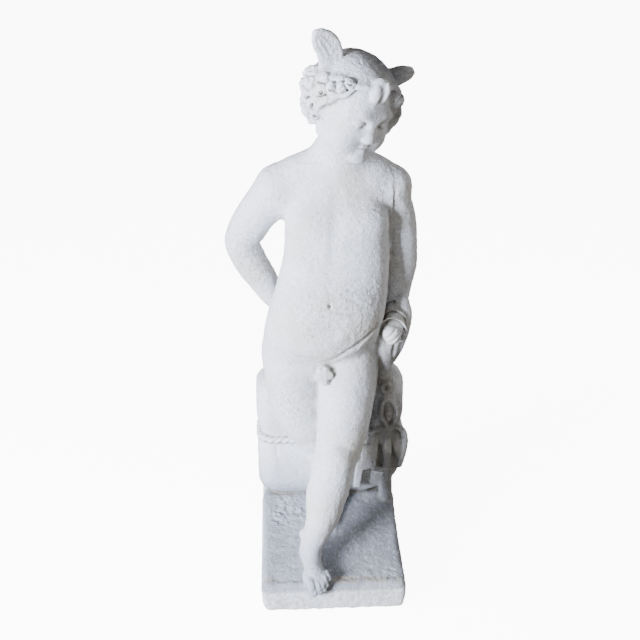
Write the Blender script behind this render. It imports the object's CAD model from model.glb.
# %% [markdown]
# # A child in a winged cap: a garden statue in painted cast stone
#
# The real object is one casting about 1.08 m high. A soft clay model was pressed and cut by hand,
# a mould was taken from it, and the mould was filled with fine concrete. White masonry paint followed.
# So there are no separate parts: every form melts into the next one, and the edges are round.
# The steps below do the same in the same order: clay, cast skin, paint, studio.

# %% Load the frame that every form is placed in
import math

import bpy
import numpy as np
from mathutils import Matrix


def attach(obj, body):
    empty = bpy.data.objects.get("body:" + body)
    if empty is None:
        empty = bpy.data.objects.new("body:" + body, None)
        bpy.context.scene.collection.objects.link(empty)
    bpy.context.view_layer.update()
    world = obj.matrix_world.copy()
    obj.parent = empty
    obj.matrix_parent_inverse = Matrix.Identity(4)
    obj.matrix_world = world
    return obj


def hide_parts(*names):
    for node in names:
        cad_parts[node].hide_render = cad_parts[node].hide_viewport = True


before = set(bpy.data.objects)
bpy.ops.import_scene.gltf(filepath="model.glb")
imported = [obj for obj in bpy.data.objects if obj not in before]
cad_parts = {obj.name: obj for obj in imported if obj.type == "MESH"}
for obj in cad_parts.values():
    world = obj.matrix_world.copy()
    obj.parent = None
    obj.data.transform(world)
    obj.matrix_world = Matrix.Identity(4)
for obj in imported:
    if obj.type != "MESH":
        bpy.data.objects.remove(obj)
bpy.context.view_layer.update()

# %% [markdown]
# ## Clay
#
# A limb could be a grid of two parameters, a profile carried along a path. But where a thigh meets a belly,
# two such grids only cross, and the crossing shows as a hard line that a modeller would have smoothed over.
# So the whole figure is one function instead: the distance from any place to the surface, negative inside.
# It is worked out at every corner of a fine grid of cubes, as whole arrays. The smaller of two distances
# unites two forms, and rounding that choice over a few millimetres gives the fillet that a thumb leaves.

# %% A block of clay, and how one form is joined to the rest
FAR = 1.0


def new_clay(low, high, cell):
    """An empty block: the corners of cubes of the given size from low to high, all of them far outside."""
    low = np.array(low, float)
    counts = np.ceil((np.array(high) - low) / cell).astype(int) + 1
    axes = [(low[i] + cell * np.arange(counts[i])).astype(np.float32) for i in range(3)]
    return {"low": low, "cell": cell, "axes": axes, "field": np.full(counts, FAR, np.float32)}


def soft_union(a, b, ease):
    """The smaller distance. Where they differ by less than ease, it dips below both by a parabola."""
    if ease == 0:
        return np.minimum(a, b)
    share = np.clip(0.5 + 0.5 * (b - a) / ease, 0, 1)
    return b + (a - b) * share - ease * share * (1 - share)


def span(axis, low, high):
    """The slice of a sorted axis that lies between two values."""
    return slice(int(np.searchsorted(axis, low)), int(np.searchsorted(axis, high)))


def press(clay, low, high, distance, ease=0.0, cut=False):
    """Join a form to the clay, or cut it out, reckoned only in the window from low to high and a margin."""
    margin = ease + 3 * clay["cell"]
    window = tuple(span(clay["axes"][i], low[i] - margin, high[i] + margin) for i in range(3))
    x, y, z = (clay["axes"][i][window[i]] for i in range(3))
    if min(len(x), len(y), len(z)) == 0:
        return
    near = distance(x[:, None, None], y[None, :, None], z[None, None, :])
    old = clay["field"][window]
    clay["field"][window] = -soft_union(-old, near, ease) if cut else soft_union(old, near, ease)


# %% [markdown]
# ## Chance
#
# Hand work is never even. Numbers drawn by chance would make it so, but they would have to be drawn in the
# same order on every run. So the noise below is worked out from each place itself, and is always the same.

# %% Smooth noise and smooth steps
def lattice_noise(points, size, seed=0):
    """Smooth noise from -1 to 1: a number of its own at each corner of a lattice of cubes of the given size,
    mixed inside a cube by 3t^2 - 2t^3 along each axis."""
    spot = points / size
    corner = np.floor(spot).astype(np.int64)
    share = spot - corner
    share = share * share * (3 - 2 * share)
    total = np.zeros(len(points))
    for offset in np.ndindex(2, 2, 2):
        x, y, z = (corner + offset).T
        key = (x * 73856093) ^ (y * 19349663) ^ (z * 83492791) ^ (seed * 264435761)
        value = ((key * 1103515245 + 12345) >> 9 & 0xFFFF) / 32767.5 - 1
        total += value * np.prod(np.where(offset, share, 1 - share), axis=1)
    return total


def smooth_step(value, low, high):
    """0 below low, 1 above high, and 3t^2 - 2t^3 between."""
    share = np.clip((value - low) / (high - low), 0, 1)
    return share * share * (3 - 2 * share)


# %% [markdown]
# ## Three hand tools
#
# Nearly everything is pressed on with three forms: a ball, a limb and a stack of ovals.
# A limb is what an armature wire with clay on it gives: a smooth path with a thickness at each station.

# %% Ball, limb and stack
def turning(x=0.0, y=0.0, z=0.0):
    """A rotation matrix from degrees about x, then y, then z."""
    (cx, cy, cz), (sx, sy, sz) = np.cos(np.radians([x, y, z])), np.sin(np.radians([x, y, z]))
    about_x = np.array([[1, 0, 0], [0, cx, -sx], [0, sx, cx]])
    about_y = np.array([[cy, 0, sy], [0, 1, 0], [-sy, 0, cy]])
    about_z = np.array([[cz, -sz, 0], [sz, cz, 0], [0, 0, 1]])
    return about_z @ about_y @ about_x


def own_places(x, y, z, middle, turn):
    """The same places in a form's own frame: less its middle, and turned back."""
    x, y, z = x - middle[0], y - middle[1], z - middle[2]
    return [turn[0, j] * x + turn[1, j] * y + turn[2, j] * z for j in range(3)]


def oval_distance(own, radii):
    """k(k - 1)/g, with k the length of the place divided by the radii, and g by their squares."""
    k = np.sqrt(sum((own[j] / radii[j]) ** 2 for j in range(3)))
    g = np.sqrt(sum((own[j] / radii[j] ** 2) ** 2 for j in range(3))) + 1e-9
    return k * (k - 1) / g


def press_ball(clay, middle, radii, turn=None, ease=0.0, cut=False):
    """An ellipsoid, in a window as far as its turned radii reach along each axis."""
    turn = np.float32(np.eye(3) if turn is None else turn)
    middle, radii = np.float32(middle), np.float32(np.ones(3) * radii)
    reach = np.sqrt(((turn * radii) ** 2).sum(axis=1))

    def distance(x, y, z):
        return oval_distance(own_places(x, y, z, middle, turn), radii)

    press(clay, middle - reach, middle + reach, distance, ease, cut)


def smooth_path(stations, steps=6):
    """A Catmull-Rom curve through the stations: cubic stretches whose slopes agree where they meet."""
    rows = np.array(stations, float)
    ends = np.vstack([2 * rows[0] - rows[1], rows, 2 * rows[-1] - rows[-2]])
    share = np.linspace(0, 1, steps, endpoint=False)[:, None]
    parts = []
    for a, b, c, d in zip(ends, ends[1:], ends[2:], ends[3:]):
        bend = (2 * a - 5 * b + 4 * c - d) * share ** 2 + (3 * b - a - 3 * c + d) * share ** 3
        parts.append(0.5 * (2 * b + (c - a) * share + bend))
    return np.vstack(parts + [rows[-1:]])


def press_limb(clay, stations, ease=0.0, cut=False, steps=6):
    """A round form along a smooth path through rows of x, y, z and radius.

    The distance to one straight stretch is the distance to its nearest point, less the radius there.
    """
    path = np.float32(smooth_path(stations, steps))
    margin = ease + 3 * clay["cell"]

    def distance(x, y, z):
        near = np.full(np.broadcast_shapes(x.shape, y.shape, z.shape), FAR, np.float32)
        for a, b in zip(path, path[1:]):
            widest = max(a[3], b[3]) + margin
            low, high = np.minimum(a, b)[:3] - widest, np.maximum(a, b)[:3] + widest
            part = (span(x[:, 0, 0], low[0], high[0]), span(y[0, :, 0], low[1], high[1]),
                    span(z[0, 0, :], low[2], high[2]))
            dx, dy, dz = x[part[0]] - a[0], y[:, part[1]] - a[1], z[:, :, part[2]] - a[2]
            run = b - a
            along = (dx * run[0] + dy * run[1] + dz * run[2]) / max(run[:3] @ run[:3], 1e-12)
            along = np.clip(along, 0, 1)
            away = (dx - along * run[0]) ** 2 + (dy - along * run[1]) ** 2 + (dz - along * run[2]) ** 2
            near[part] = np.minimum(near[part], np.sqrt(away) - a[3] - along * run[3])
        return near

    widest = path[:, 3].max()
    press(clay, path[:, :3].min(axis=0) - widest, path[:, :3].max(axis=0) + widest, distance, ease, cut)


def press_stack(clay, rows, power=2.2):
    """A stack of ovals, a little squarer than ellipses: (|x/a|^p + |y/b|^p)^(1/p) = 1 at every height.

    The rows give height, middle x, half width, middle y and half depth.
    """
    rows = smooth_path(rows)
    rows = rows[np.argsort(rows[:, 0])]
    heights = rows[:, 0]

    def distance(x, y, z):
        level = np.clip(z, heights[0], heights[-1])
        middle_x, half_width, middle_y, half_depth = (np.interp(level, heights, rows[:, i]) for i in range(1, 5))
        ratio = np.abs((x - middle_x) / half_width) ** power + np.abs((y - middle_y) / half_depth) ** power
        side = (ratio ** (1 / power) - 1) * np.minimum(half_width, half_depth)
        beyond = np.maximum(heights[0] - z, z - heights[-1])
        return np.where(beyond > 0, np.hypot(np.maximum(side, 0), beyond), side)

    low = ((rows[:, 1] - rows[:, 2]).min(), (rows[:, 3] - rows[:, 4]).min(), heights[0])
    high = ((rows[:, 1] + rows[:, 2]).max(), (rows[:, 3] + rows[:, 4]).max(), heights[-1])
    press(clay, np.array(low), np.array(high), distance)


# %% Change the height of what is there
def add_height(clay, middle, reach, height, band=0.011):
    """Raise the skin by height(places), wherever it lies in the cube of the given reach round a middle."""
    window = tuple(span(clay["axes"][i], middle[i] - reach, middle[i] + reach) for i in range(3))
    x, y, z = (clay["axes"][i][window[i]] for i in range(3))
    field = clay["field"][window]
    spots = np.argwhere(np.abs(field) < band)
    if len(spots):
        places = np.stack([x[spots[:, 0]], y[spots[:, 1]], z[spots[:, 2]]], axis=1)
        field[tuple(spots.T)] -= height(places).astype(np.float32)


# %% [markdown]
# ## Trunk
#
# A small child's trunk is a barrel, widest at the belly, which hangs in a fold over the groin.
# The stack of ovals gives the barrel. Balls with a wide fillet give chest, belly and seat, and thin limbs
# cut the lines that a modelling tool draws: breastbone, navel, the fold under the belly, and the spine.

# %% Press and cut the trunk
TRUNK = [
    (0.380, -0.010, 0.085, 0.070, 0.045), (0.400, -0.010, 0.103, 0.062, 0.066),
    (0.435, -0.011, 0.110, 0.054, 0.080), (0.466, -0.011, 0.111, 0.042, 0.086),
    (0.497, -0.008, 0.112, 0.028, 0.087), (0.531, 0.000, 0.112, 0.022, 0.083),
    (0.562, 0.008, 0.110, 0.023, 0.077), (0.598, 0.015, 0.106, 0.028, 0.071),
    (0.654, 0.023, 0.101, 0.032, 0.067), (0.705, 0.023, 0.098, 0.036, 0.068),
    (0.750, 0.025, 0.094, 0.042, 0.060), (0.790, 0.025, 0.078, 0.046, 0.048),
    (0.818, 0.028, 0.050, 0.044, 0.036),
]
SHOULDERS = [(-0.085, 0.052, 0.776, 0.037), (-0.045, 0.050, 0.796, 0.037), (0.025, 0.050, 0.808, 0.038),
             (0.090, 0.050, 0.792, 0.039), (0.130, 0.054, 0.771, 0.038)]
NECK = [(0.026, 0.048, 0.790, 0.052), (0.030, 0.038, 0.825, 0.046), (0.039, 0.022, 0.862, 0.044),
        (0.046, 0.006, 0.900, 0.043)]
TRUNK_MASSES = [
    ((-0.022, 0.005, 0.714), (0.048, 0.030, 0.034), 0.018),
    ((0.068, 0.002, 0.710), (0.048, 0.031, 0.034), 0.018),
    ((0.000, -0.002, 0.535), (0.092, 0.061, 0.072), 0.030),
    ((-0.006, -0.004, 0.485), (0.080, 0.055, 0.036), 0.020),
    ((-0.060, 0.090, 0.425), (0.060, 0.052, 0.058), 0.020),
    ((0.048, 0.088, 0.415), (0.058, 0.052, 0.056), 0.020),
    ((-0.030, 0.094, 0.735), (0.040, 0.018, 0.050), 0.030),
    ((0.085, 0.094, 0.730), (0.040, 0.018, 0.050), 0.030),
]
print("trunk, mm high:", round(1000 * (TRUNK[-1][0] - TRUNK[0][0])), "from", len(TRUNK), "ovals")


def model_trunk(clay):
    """Barrel, shoulders and neck, then the masses that soften them."""
    press_stack(clay, TRUNK, 2.45)
    press_limb(clay, SHOULDERS, 0.030)
    press_limb(clay, NECK, 0.025)
    for side in (-1, 1):
        slope_of_neck = [(0.025 + side * 0.06, 0.047, 0.798, 0.024), (0.03 + side * 0.03, 0.044, 0.822, 0.025),
                         (0.034 + side * 0.010, 0.036, 0.850, 0.030)]
        press_limb(clay, slope_of_neck, 0.030)
    for middle, radii, ease in TRUNK_MASSES:
        press_ball(clay, np.array(middle), radii, None, ease)


# %% The lines that are cut into the trunk
BREASTBONE = [(0.021, -0.025, 0.775, 0.0026), (0.02, -0.036, 0.74, 0.003), (0.018, -0.0435, 0.705, 0.0032),
              (0.016, -0.047, 0.67, 0.003), (0.012, -0.053, 0.63, 0.0028), (0.008, -0.067, 0.59, 0.0024)]
NAVEL, NAVEL_RADII = np.array((0.005, -0.0630, 0.570)), (0.0030, 0.0080, 0.0052)
BELLY_FOLD = [(0.095, -0.029, 0.522, 0.0012), (0.086, -0.035, 0.513, 0.0018), (0.061, -0.0484, 0.49, 0.002),
              (0.034, -0.0544, 0.474, 0.0018), (0.008, -0.044, 0.454, 0.002), (-0.019, -0.041, 0.445, 0.0018),
              (-0.045, -0.0442, 0.460, 0.0018), (-0.060, -0.0490, 0.471, 0.0012)]
SPINE = [(0.000, 0.1085, 0.775, 0.0024), (0.004, 0.1065, 0.740, 0.0030), (0.006, 0.1020, 0.700, 0.0034),
         (0.007, 0.0970, 0.660, 0.0036), (0.006, 0.0965, 0.620, 0.0036), (0.003, 0.0985, 0.580, 0.0034),
         (-0.002, 0.1035, 0.540, 0.0030), (-0.005, 0.1160, 0.500, 0.0024)]
SEAT = [(-0.006, 0.1235, 0.482, 0.0018), (-0.006, 0.1300, 0.460, 0.0036), (-0.006, 0.1325, 0.430, 0.0042),
        (-0.005, 0.1210, 0.398, 0.0036)]
NECK_FOLD = [(-0.010, 0.012, 0.822, 0.0014), (0.010, -0.0005, 0.806, 0.0018), (0.030, -0.0045, 0.800, 0.0018),
             (0.052, -0.0010, 0.806, 0.0014)]
print("breastbone line, mm high:", round(1000 * (BREASTBONE[0][2] - BREASTBONE[-1][2])))


def line_the_trunk(clay):
    """Lines cut after the limbs are on. One whose middle stands outside the skin by a little more than its
    radius leaves a soft groove."""
    press_limb(clay, BREASTBONE, 0.022, True)
    press_ball(clay, NAVEL, NAVEL_RADII, turning(-15), 0.004, True)
    press_limb(clay, BELLY_FOLD, 0.008, True)
    press_limb(clay, SPINE, 0.014, True)
    press_limb(clay, SEAT, 0.008, True)
    press_limb(clay, NECK_FOLD, 0.005, True)


# %% [markdown]
# ## Legs and feet
#
# The front leg carries no weight: it hangs from the bale and crosses in front, and its toes lie over the
# plinth's edge. The other leg stands behind it, against the bale, and from in front its shin and foot are
# hidden. Both are fat and short, as a child's are, so a few stations with wide radii give each of them, and
# the foot behind is only roughly finished.

# %% Press the legs, feet and toes
FRONT_LEG = [(0.046, 0.046, 0.450, 0.060), (0.041, 0.014, 0.410, 0.0595), (0.035, -0.016, 0.364, 0.0550),
             (0.0275, -0.04, 0.32, 0.0505), (0.0175, -0.06, 0.28, 0.0455), (0.008, -0.069, 0.252, 0.0425),
             (0.000, -0.082, 0.220, 0.0410), (-0.008, -0.091, 0.195, 0.0400), (-0.016, -0.105, 0.161, 0.0330),
             (-0.028, -0.119, 0.131, 0.0265), (-0.040, -0.127, 0.108, 0.0215)]
FRONT_FOOT = [(-0.043, -0.113, 0.086, 0.0225), (-0.04, -0.144, 0.082, 0.019), (-0.037, -0.168, 0.072, 0.018)]
BACK_LEG = [(-0.067, 0.045, 0.440, 0.058), (-0.066, 0.028, 0.387, 0.055), (-0.060, 0.012, 0.342, 0.048),
            (-0.048, 0.012, 0.305, 0.0425), (-0.034, 0.018, 0.278, 0.0375), (-0.016, 0.026, 0.232, 0.0320),
            (-0.003, 0.030, 0.189, 0.0290), (0.000, 0.032, 0.142, 0.0250)]
BACK_FOOT = [(0.000, 0.030, 0.124, 0.0250), (0.000, 0.010, 0.107, 0.0230), (0.001, -0.012, 0.094, 0.0210),
             (0.002, -0.030, 0.084, 0.0180)]
TOES = [
    ((-0.0475, -0.182, 0.067), (-0.0440, -0.196, 0.063), (-0.0390, -0.200, 0.0460), 0.0088),
    ((-0.0366, -0.182, 0.070), (-0.0310, -0.197, 0.063), (-0.0272, -0.200, 0.0460), 0.0058),
    ((-0.0290, -0.181, 0.071), (-0.0232, -0.194, 0.065), (-0.0190, -0.197, 0.0500), 0.0054),
    ((-0.0212, -0.178, 0.073), (-0.0169, -0.189, 0.069), (-0.0136, -0.193, 0.0565), 0.0050),
    ((-0.0143, -0.173, 0.075), (-0.0109, -0.181, 0.072), (-0.0086, -0.185, 0.066), 0.0048),
]
BALL_OF_FOOT, KNEE = np.array((-0.034, -0.179, 0.066)), np.array((0.012, -0.102, 0.268))
ANKLES = [np.array((-0.055, -0.118, 0.127)), np.array((-0.016, -0.121, 0.132))]
print("front leg, mm high:", round(1000 * (FRONT_LEG[0][2] - TOES[0][2][2])))


def model_legs(clay):
    """Two tapering limbs with their feet. The front one has a kneecap, two ankle bones and the foot's ball."""
    press_limb(clay, BACK_LEG, 0.014)
    press_limb(clay, BACK_FOOT, 0.010)
    press_limb(clay, FRONT_LEG, 0.012)
    press_limb(clay, FRONT_FOOT, 0.014)
    press_ball(clay, BALL_OF_FOOT, (0.026, 0.021, 0.0145), turning(40), 0.010)
    press_ball(clay, KNEE, (0.022, 0.014, 0.024), turning(10), 0.022)
    for ankle in ANKLES:
        press_ball(clay, ankle, 0.0085, None, 0.010)


def model_toes(clay):
    """Each toe is a short limb that bends at its knuckle, with a nail pressed in near its end."""
    for root, knuckle, tip, radius in TOES:
        press_limb(clay, [(*root, radius), (*knuckle, radius), (*tip, 0.98 * radius)], 0.0022)
        nail = np.array(tip) + (-0.0002, -0.86 * radius, 0.42 * radius)
        press_ball(clay, nail, (0.52 * radius, 0.16 * radius, 0.50 * radius), turning(-26), 0.0012, True)


# %% [markdown]
# ## Arms and hands
#
# One arm reaches behind the back, where the hand lies flat against the hip. The other comes forward, and
# its fist closes round the staff. The hidden hand has four finger limbs; the fist is one ball, and the lines
# between its fingers are cut into it, slanting, as on the casting.

# %% Press the arms and the hand behind
ARM_BEHIND = [(-0.088, 0.052, 0.768, 0.0410), (-0.117, 0.068, 0.730, 0.0395), (-0.142, 0.088, 0.690, 0.0380),
              (-0.158, 0.102, 0.653, 0.0345), (-0.144, 0.111, 0.611, 0.0335), (-0.121, 0.117, 0.570, 0.0300),
              (-0.100, 0.121, 0.532, 0.0235), (-0.080, 0.124, 0.505, 0.0205)]
THUMB_BEHIND = [(-0.062, 0.12, 0.51, 0.008), (-0.044, 0.124, 0.521, 0.0075), (-0.03, 0.124, 0.524, 0.0065)]
ARM_FRONT = [(0.124, 0.054, 0.762, 0.0370), (0.144, 0.062, 0.708, 0.0325), (0.151, 0.067, 0.656, 0.0300),
             (0.152, 0.071, 0.615, 0.0295), (0.148, 0.074, 0.582, 0.0280), (0.143, 0.074, 0.556, 0.0245)]
PALM_BEHIND = np.array((-0.052, 0.122, 0.488))
print("arms, mm high:", [round(1000 * (arm[0][2] - arm[-1][2])) for arm in (ARM_BEHIND, ARM_FRONT)])


def model_arms(clay):
    """Two tapering limbs with a wide fillet at the shoulder and a flat palm behind the back."""
    press_limb(clay, ARM_BEHIND, 0.020)
    press_limb(clay, ARM_FRONT, 0.014)
    press_ball(clay, PALM_BEHIND, (0.034, 0.016, 0.026), None, 0.012)
    for finger in range(4):
        z = 0.503 - 0.0105 * finger
        press_limb(clay, [(-0.050, 0.129, z, 0.0070), (-0.033, 0.132, z - 0.006, 0.0066),
                          (-0.020, 0.130, z - 0.013, 0.0058)], 0.0015)
    press_limb(clay, THUMB_BEHIND, 0.003)


# %% Press the fist
FIST = np.array((0.1265, -0.006, 0.490))
FOREARM = np.array((0.167, 0.896, 0.411)) / np.linalg.norm((0.167, 0.896, 0.411))
FINGER_LEAN = math.radians(43)
FINGER_CREASES = (-0.0072, 0.0045, 0.0140)
print("creases across the fist, mm:", [1000 * crease for crease in FINGER_CREASES])


def finger_creases(places):
    """Three grooves 1.9 mm deep across the fist, at set distances from its middle, square to the lean."""
    x, y, z = (places - FIST).T
    across = x * math.sin(FINGER_LEAN) - z * math.cos(FINGER_LEAN)
    along = x * math.cos(FINGER_LEAN) + z * math.sin(FINGER_LEAN)
    front = (1 - smooth_step(y, -0.004, 0.006)) * smooth_step(along, -0.018, -0.011)
    front = front * (1 - smooth_step(along, 0.010, 0.017))
    return -0.0019 * front * sum(np.exp(-((across - crease) / 0.0013) ** 2) for crease in FINGER_CREASES)


def model_fist(clay):
    """The wrist as a short limb, the fist as a ball with a flatter front, and creases between its fingers."""
    press_limb(clay, [(*(FIST + 0.022 * FOREARM), 0.0195), (*FIST, 0.0170)], 0.004)
    press_ball(clay, FIST + (-0.001, -0.002, 0), (0.0178, 0.0180, 0.0205), turning(y=-12), 0.003)
    press_ball(clay, FIST + (-0.008, -0.006, 0.006), (0.0110, 0.0135, 0.0130), turning(y=20), 0.005)
    add_height(clay, FIST, 0.030, finger_creases)


# %% [markdown]
# ## Head and face
#
# The head bends forward and to one side, so it is modelled in a frame of its own, level and facing -Y,
# and carried into place by one matrix. The face is a plain child's face on the proportions that drawing
# books give: eyes at half height, nose and mouth close together below them, full cheeks, a small chin.
# It looks down calmly, with its lids half lowered.

# %% Press the head
HEAD = np.array((0.054, -0.033, 0.954))
HEAD_TURN = turning(z=20) @ turning(x=17) @ turning(y=12)
FACE_TURN = HEAD_TURN @ turning(z=11)
EYE_LINE, NOSE_LINE, MOUTH_LINE, CHIN_LINE = -0.022, -0.049, -0.067, -0.090
EYE_OUT, UPPER_LID, LOWER_LID = 0.026, 0.0012, 0.0056
JAW = [(-0.044, -0.008, -0.062, 0.020), (-0.025, -0.038, -0.080, 0.020), (0, -0.048, -0.083, 0.020),
       (0.025, -0.038, -0.080, 0.020), (0.044, -0.008, -0.062, 0.020)]
print("the head leans by", round(math.degrees(math.acos(HEAD_TURN[2, 2]))), "degrees")


def in_head(*rows, turn=HEAD_TURN):
    """Carry rows of x, y, z (and a radius) from the head's frame to the statue's."""
    return [(*(HEAD + turn @ np.array(row[:3])), *row[3:]) for row in rows]


def head_ball(clay, middle, radii, ease=0.0, cut=False, turn=HEAD_TURN):
    """An ellipsoid that turns with the head."""
    press_ball(clay, HEAD + turn @ np.array(middle), radii, turn, ease, cut)


def head_limb(clay, rows, ease=0.0, cut=False, steps=6, turn=HEAD_TURN):
    """A limb whose stations are in the head's frame."""
    press_limb(clay, in_head(*rows, turn=turn), ease, cut, steps)


def press_bowl(clay, middle, radii, keep, ease, turn=HEAD_TURN):
    """The part of an ellipsoid where keep(x, y, z) is negative, in the head's frame, with a soft rim."""
    middle, radii, turn = np.float32(middle), np.float32(radii), np.float32(turn)

    def distance(x, y, z):
        own = own_places(x, y, z, HEAD, turn)
        oval = oval_distance([own[j] - middle[j] for j in range(3)], radii)
        return -soft_union(-oval, -keep(*own), 0.15 * ease)

    place = HEAD + turn @ middle
    press(clay, place - radii.max(), place + radii.max(), distance, ease)


def model_head(clay):
    """Skull, face, cheeks and the jaw's arc, with wide fillets."""
    head_ball(clay, (0, 0.006, 0.002), (0.069, 0.080, 0.068), 0.012)
    head_ball(clay, (0, -0.026, -0.034), (0.059, 0.050, 0.052), 0.018, turn=FACE_TURN)
    head_limb(clay, JAW, 0.018, turn=FACE_TURN)
    for side in (-1, 1):
        head_ball(clay, (side * 0.031, -0.040, -0.056), (0.027, 0.028, 0.027), 0.014, turn=FACE_TURN)
    head_ball(clay, (0, -0.0620, CHIN_LINE), (0.0150, 0.0115, 0.0105), 0.012, turn=FACE_TURN)


# %% Model the face on it
BRIDGE = [(0, -0.0665, EYE_LINE + 0.010, 0.0052), (0, -0.0695, EYE_LINE - 0.008, 0.0060),
          (0, -0.0755, NOSE_LINE + 0.003, 0.0078)]
UPPER_LIP = [(-0.0130, -0.0628, MOUTH_LINE, 0.0024), (-0.0050, -0.0680, MOUTH_LINE + 0.0026, 0.0034),
             (0, -0.0686, MOUTH_LINE + 0.0020, 0.0032), (0.0050, -0.0680, MOUTH_LINE + 0.0026, 0.0034),
             (0.0130, -0.0628, MOUTH_LINE, 0.0024)]
LOWER_LIP = [(-0.0095, -0.0640, MOUTH_LINE - 0.0044, 0.0030), (0, -0.0672, MOUTH_LINE - 0.0054, 0.0040),
             (0.0095, -0.0640, MOUTH_LINE - 0.0044, 0.0030)]
print("from the eyes to nose, mouth and chin, mm:", [round(1000 * (EYE_LINE - line))
                                                     for line in (NOSE_LINE, MOUTH_LINE, CHIN_LINE)])


def model_face(clay):
    """Sockets are shallow hollows, eyes are balls in them, and lids are slightly larger balls cut by planes."""
    for side in (-1, 1):
        model_eye(clay, side)
        brow = [(side * 0.009, -0.0690, EYE_LINE + 0.0125, 0.0040),
                (side * 0.026, -0.0680, EYE_LINE + 0.0185, 0.0046),
                (side * 0.045, -0.0560, EYE_LINE + 0.0130, 0.0040)]
        head_limb(clay, brow, 0.014, turn=FACE_TURN)
        head_ball(clay, (side * 0.0068, -0.0735, NOSE_LINE), (0.0054, 0.0058, 0.0048), 0.005, turn=FACE_TURN)
        nostril = (side * 0.0042, -0.0790, NOSE_LINE - 0.0056)
        head_ball(clay, nostril, (0.0014, 0.0024, 0.0012), 0.0015, True, FACE_TURN)
    head_limb(clay, BRIDGE, 0.012, turn=FACE_TURN)
    model_mouth(clay)


def model_eye(clay, side):
    """A hollow, a ball in it, and lids that leave a slit 4 mm high below the eye's middle, so it looks down."""
    middle, socket = (side * EYE_OUT, -0.0600, EYE_LINE), (side * EYE_OUT, -0.0765, EYE_LINE + 0.001)
    upper, lower = (0.0146, 0.0134, 0.0114), (0.0138, 0.0126, 0.0110)
    head_ball(clay, socket, (0.0175, 0.0098, 0.0112), 0.007, True, FACE_TURN)
    head_ball(clay, middle, (0.0122, 0.0112, 0.0096), 0.0010, turn=FACE_TURN)
    press_bowl(clay, middle, upper, lambda x, y, z: EYE_LINE - UPPER_LID - z, 0.0012, FACE_TURN)
    press_bowl(clay, middle, lower, lambda x, y, z: z - EYE_LINE + LOWER_LID, 0.0012, FACE_TURN)


def lip_line(places):
    """A groove of depth * exp(-(height above the line / width)^2) that dies out at the corners."""
    x, y, z = ((places - HEAD) @ FACE_TURN).T
    line = MOUTH_LINE - 0.0013 + 0.0005 * np.cos(np.pi * x / 0.0065)
    across = (1 - smooth_step(np.abs(x), 0.009, 0.0150)) * (y < -0.045)
    return -0.0013 * across * np.exp(-((z - line) / 0.0011) ** 2)


def model_mouth(clay):
    """Closed lips at rest: two small limbs over the jaw, and the line between them."""
    head_limb(clay, UPPER_LIP, 0.005, turn=FACE_TURN)
    head_limb(clay, LOWER_LIP, 0.005, turn=FACE_TURN)
    add_height(clay, HEAD + FACE_TURN @ np.array((0, -0.065, MOUTH_LINE)), 0.030, lip_line)


# %% [markdown]
# ## Hair
#
# Below the cap the hair stands out in fat curls. A carver leaves one swelling of stone, divides it into
# curls, winds a shallow groove into each, and cuts a slot like a comma beside its middle, which reads as
# a dark stroke from afar. Curls made one by one, from strands, look like wire and leave gaps. So the
# swelling is modelled first, and the curls are a change of its height: each place belongs to the nearest
# curl and follows its spiral.

# %% The curls: their middles in the head's frame and their sizes
CURLS = [
    (-0.0870, 0.0170, 0.0330, 0.0115), (-0.0960, 0.0040, 0.0130, 0.0110), (-0.0960, 0.0080, -0.0090, 0.0120),
    (-0.074, -0.013, 0.033, 0.0095), (-0.081, -0.022, 0.013, 0.0105), (-0.066, -0.036, 0.024, 0.009),
    (-0.056, -0.044, 0.032, 0.0085), (-0.043, -0.048, 0.043, 0.0088), (-0.073, -0.033, -0.002, 0.0085),
    (-0.086, -0.007, -0.023, 0.01), (-0.083, 0.006, -0.042, 0.011), (-0.083, 0.035, -0.033, 0.0125),
    (-0.09, 0.037, -0.006, 0.0125), (-0.083, 0.041, 0.02, 0.0115), (-0.071, -0.013, -0.039, 0.008),
    (0.0560, -0.0500, 0.0340, 0.0095), (0.0700, -0.0400, 0.0180, 0.0105), (0.0840, -0.0210, 0.0180, 0.0110),
    (0.092, -0.004, -0.002, 0.012), (0.078, -0.036, -0.005, 0.01), (0.086, -0.016, -0.027, 0.0115),
    (0.0730, -0.0240, -0.0500, 0.0105), (0.0870, 0.0130, 0.0210, 0.0115), (0.0860, 0.0150, -0.0280, 0.0120),
    (0.0820, 0.0380, 0.0120, 0.0120), (0.0830, 0.0400, -0.0150, 0.0125), (0.0740, 0.0380, -0.0420, 0.0120),
    (0.0760, 0.0080, -0.0530, 0.0105),
]
HAIRLINE = [(-0.0390, -0.0560, 0.0340, 0.0040), (-0.0475, -0.0525, 0.0215, 0.0060),
            (-0.0575, -0.0460, 0.0170, 0.0056), (-0.0655, -0.0380, 0.0010, 0.0066),
            (-0.0705, -0.0260, -0.0080, 0.0062), (-0.0730, -0.0110, -0.0300, 0.0066)]
BACK_ROWS = [(0.010, 40, 6), (-0.014, 46, 7), (-0.038, 42, 6), (-0.060, 58, 5)]
HAIR_MASSES = [
    ((0, 0.046, -0.010), (0.076, 0.048, 0.048)), ((0, 0.058, -0.050), (0.050, 0.032, 0.028)),
    ((-0.062, 0.014, 0.006), (0.0345, 0.042, 0.040)), ((-0.057, 0.012, -0.032), (0.030, 0.034, 0.029)),
    ((-0.056, -0.022, 0.020), (0.0240, 0.029, 0.024)), ((-0.046, -0.038, 0.036), (0.0160, 0.018, 0.014)),
    ((0.061, 0.010, -0.004), (0.0300, 0.046, 0.040)), ((0.060, -0.006, -0.036), (0.0260, 0.032, 0.030)),
    ((0.058, -0.030, 0.014), (0.0210, 0.022, 0.028)), ((0.069, -0.016, -0.018), (0.0225, 0.028, 0.030)),
]
HAIR_MIDDLE = np.array((0.0, 0.012, -0.004))


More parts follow.
